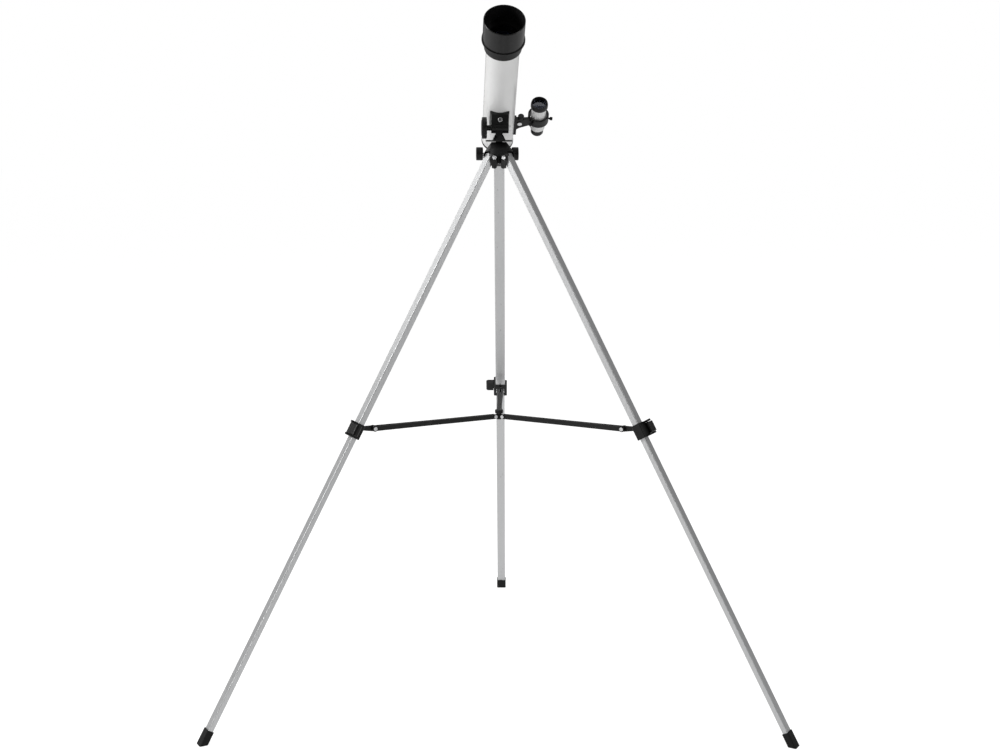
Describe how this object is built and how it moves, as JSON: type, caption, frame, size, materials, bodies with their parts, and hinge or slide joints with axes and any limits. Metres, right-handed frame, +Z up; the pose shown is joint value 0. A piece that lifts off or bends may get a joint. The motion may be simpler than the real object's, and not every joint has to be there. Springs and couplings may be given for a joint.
{
  "type": "refractor telescope on tripod",
  "caption": "Small white refractor telescope with finder and star diagonal on an alt-azimuth yoke, standing on a folding aluminium tripod with telescopic legs and a spreader.",
  "frame": {"origin": "on the floor, at the centre line of the tripod", "axes": "+Z up along the tripod's centre line, +Y towards the rear leg; the tube looks towards -Y, raised 40.3 degrees and turned 3.6 degrees about +Z"},
  "size_m": [0.9956, 0.8629, 1.2023],
  "materials": {
    "black_plastic": "moulded satin black",
    "black_gloss_plastic": "dark grey gloss",
    "black_baffle": "dead black",
    "white_enamel": "gloss white enamel",
    "anodised_aluminium": "satin anodised extrusion",
    "drawtube_metal": "black anodised",
    "foot_rubber": "moulded rubber",
    "bright_steel": "bright zinc-plated",
    "coated_glass": "coated optical glass",
    "mirror": "first-surface mirror"
  },
  "bodies": {
    "head": {"tripod_head": "black_plastic", "pivot_bolts": "bright_steel"},
    "yoke": {"azimuth_yoke": "black_plastic", "azimuth_retainer": "bright_steel"},
    "optical_tube": {"saddle": "black_plastic", "altitude_bolt": "bright_steel", "small_screws": "bright_steel", "main_tube": "white_enamel", "tube_baffles": "black_baffle", "objective_cell": "black_plastic", "dew_shield": "black_gloss_plastic", "objective_lenses": "coated_glass", "lens_ring": "black_baffle", "focuser_housing": "black_plastic", "finder_bracket": "black_plastic", "finder_adjusters": "black_plastic", "finder_tube": "white_enamel", "finder_cell": "black_plastic", "finder_lenses": "coated_glass", "finder_eyepiece": "black_plastic"},
    "altitude_knob": {"altitude_knob": "black_plastic"},
    "focus_knobs": {"pinion_shaft": "bright_steel", "focus_knobs": "black_plastic"},
    "drawtube": {"focuser_drawtube": "drawtube_metal"},
    "focus_lock": {"focus_lock_screw": "black_plastic"},
    "diagonal": {"diagonal_body": "black_plastic", "diagonal_mirror": "mirror"},
    "eyepiece_lock": {"eyepiece_lock_screw": "black_plastic"},
    "eyepiece": {"eyepiece_barrel": "black_plastic", "eyepiece_lenses": "coated_glass", "eyepiece_eyecup": "foot_rubber"},
    "bracket_thumbscrew": {"bracket_thumbscrew": "black_plastic"},
    "leg_rear": {"leg_rear_upper_tube": "anodised_aluminium", "leg_rear_top_plug": "black_plastic", "leg_rear_clamp": "black_plastic"},
    "lower_leg_rear": {"leg_rear_lower_tube": "anodised_aluminium", "leg_rear_foot": "foot_rubber"},
    "lever_rear": {"leg_rear_lever": "black_plastic"},
    "arm_rear": {"spreader_arm_rear": "black_plastic", "spreader_rivets_rear": "bright_steel"},
    "leg_left": {"leg_left_upper_tube": "anodised_aluminium", "leg_left_top_plug": "black_plastic", "leg_left_clamp": "black_plastic"},
    "lower_leg_left": {"leg_left_lower_tube": "anodised_aluminium", "leg_left_foot": "foot_rubber"},
    "lever_left": {"leg_left_lever": "black_plastic"},
    "arm_left": {"spreader_arm_left": "black_plastic", "spreader_rivets_left": "bright_steel"},
    "leg_right": {"leg_right_upper_tube": "anodised_aluminium", "leg_right_top_plug": "black_plastic", "leg_right_clamp": "black_plastic"},
    "lower_leg_right": {"leg_right_lower_tube": "anodised_aluminium", "leg_right_foot": "foot_rubber"},
    "lever_right": {"leg_right_lever": "black_plastic"},
    "arm_right": {"spreader_arm_right": "black_plastic", "spreader_rivets_right": "bright_steel"},
    "hub": {"spreader_hub": "black_plastic", "hub_pins": "bright_steel"}
  },
  "joints": [
    {"name": "azimuth_swivel", "type": "hinge", "parent": "head", "child": "yoke", "pos_m": [0, 0, 0.984], "axis": [0, 0, 1], "continuous": true},
    {"name": "altitude_tilt", "type": "hinge", "parent": "yoke", "child": "optical_tube", "pos_m": [0, 0, 1.005], "axis": [-0.998, -0.0628, 0], "range_deg": [-50, 19.5]},
    {"name": "altitude_knob_turn", "type": "hinge", "parent": "optical_tube", "child": "altitude_knob", "pos_m": [-0.02495, -0.00157, 1.005], "axis": [0.998, 0.0628, 0], "continuous": true},
    {"name": "focus_knob_turn", "type": "hinge", "parent": "optical_tube", "child": "focus_knobs", "pos_m": [-0.004, 0.09539, 0.95985], "axis": [-0.998, -0.0628, 0], "range_deg": [-102.4, 334.4]},
    {"name": "drawtube_slide", "type": "slide", "parent": "optical_tube", "child": "drawtube", "axis": [-0.0479, 0.7612, -0.6468], "range_m": [-0.0075, 0.0245]},
    {"name": "focus_lock_turn", "type": "hinge", "parent": "optical_tube", "child": "focus_lock", "pos_m": [-0.00585, 0.12481, 0.98533], "axis": [-0.0406, 0.6455, 0.7627], "continuous": true},
    {"name": "diagonal_turn", "type": "hinge", "parent": "drawtube", "child": "diagonal", "pos_m": [-0.00585, 0.12484, 0.95908], "axis": [0.0479, -0.7612, 0.6468], "range_deg": [-90, 90]},
    {"name": "eyepiece_lock_turn", "type": "hinge", "parent": "diagonal", "child": "eyepiece_lock", "pos_m": [-0.00854, 0.16761, 0.95551], "axis": [-0.0479, 0.7612, -0.6468], "continuous": true},
    {"name": "eyepiece_pull", "type": "slide", "parent": "diagonal", "child": "eyepiece", "axis": [-0.0406, 0.6455, 0.7627], "range_m": [0, 0.03]},
    {"name": "bracket_thumbscrew_turn", "type": "hinge", "parent": "optical_tube", "child": "bracket_thumbscrew", "pos_m": [0.03819, 0.06189, 1.02244], "axis": [0.0479, -0.7612, 0.6468], "continuous": true},
    {"name": "leg_fold_rear", "type": "hinge", "parent": "head", "child": "leg_rear", "pos_m": [0, 0.018, 0.955], "axis": [-1, 0, 0], "range_deg": [0, 10]},
    {"name": "leg_slide_rear", "type": "slide", "parent": "leg_rear", "child": "lower_leg_rear", "axis": [0, -0.4956, 0.8685], "range_m": [0, 0.36]},
    {"name": "clamp_lever_rear", "type": "hinge", "parent": "leg_rear", "child": "lever_rear", "pos_m": [-0.0096, 0.28943, 0.506], "axis": [0, 0.4956, -0.8685], "range_deg": [0, 110]},
    {"name": "leg_fold_left", "type": "hinge", "parent": "head", "child": "leg_left", "pos_m": [-0.01559, -0.009, 0.955], "axis": [0.5, -0.866, 0], "range_deg": [0, 10]},
    {"name": "leg_slide_left", "type": "slide", "parent": "leg_left", "child": "lower_leg_left", "axis": [0.4292, 0.2478, 0.8685], "range_m": [0, 0.36]},
    {"name": "clamp_lever_left", "type": "hinge", "parent": "leg_left", "child": "lever_left", "pos_m": [-0.24586, -0.15303, 0.506], "axis": [-0.4292, -0.2478, -0.8685], "range_deg": [0, 110]},
    {"name": "leg_fold_right", "type": "hinge", "parent": "head", "child": "leg_right", "pos_m": [0.01559, -0.009, 0.955], "axis": [0.5, 0.866, 0], "range_deg": [0, 10]},
    {"name": "leg_slide_right", "type": "slide", "parent": "leg_right", "child": "lower_leg_right", "axis": [-0.4292, 0.2478, 0.8685], "range_m": [0, 0.36]},
    {"name": "clamp_lever_right", "type": "hinge", "parent": "leg_right", "child": "lever_right", "pos_m": [0.25546, -0.1364, 0.506], "axis": [0.4292, -0.2478, -0.8685], "range_deg": [0, 110]},
    {"name": "hub_lift", "type": "slide", "parent": "head", "child": "hub", "axis": [0, 0, 1], "range_m": [0, 0.1487]},
    {"name": "arm_fold_rear", "type": "hinge", "parent": "hub", "child": "arm_rear", "pos_m": [0, 0.0095, 0.498], "axis": [-1, 0, 0], "range_deg": [0, 50.05]},
    {"name": "arm_fold_left", "type": "hinge", "parent": "hub", "child": "arm_left", "pos_m": [-0.00823, -0.00475, 0.498], "axis": [0.5, -0.866, 0], "range_deg": [0, 50.05]},
    {"name": "arm_fold_right", "type": "hinge", "parent": "hub", "child": "arm_right", "pos_m": [0.00823, -0.00475, 0.498], "axis": [0.5, 0.866, 0], "range_deg": [0, 50.05]}
  ],
  "couplings": [
    {"joint": "focus_knob_turn", "follows": "drawtube_slide", "rad_per_m": 238.09},
    {"joint": "leg_fold_left", "follows": "leg_fold_rear", "ratio": 1},
    {"joint": "leg_fold_right", "follows": "leg_fold_rear", "ratio": 1},
    {"joint": "hub_lift", "follows": "leg_fold_rear", "m_per_rad": 0.85095},
    {"joint": "arm_fold_rear", "follows": "leg_fold_rear", "ratio": 4.9999},
    {"joint": "arm_fold_left", "follows": "leg_fold_rear", "ratio": 4.9999},
    {"joint": "arm_fold_right", "follows": "leg_fold_rear", "ratio": 4.9999}
  ]
}
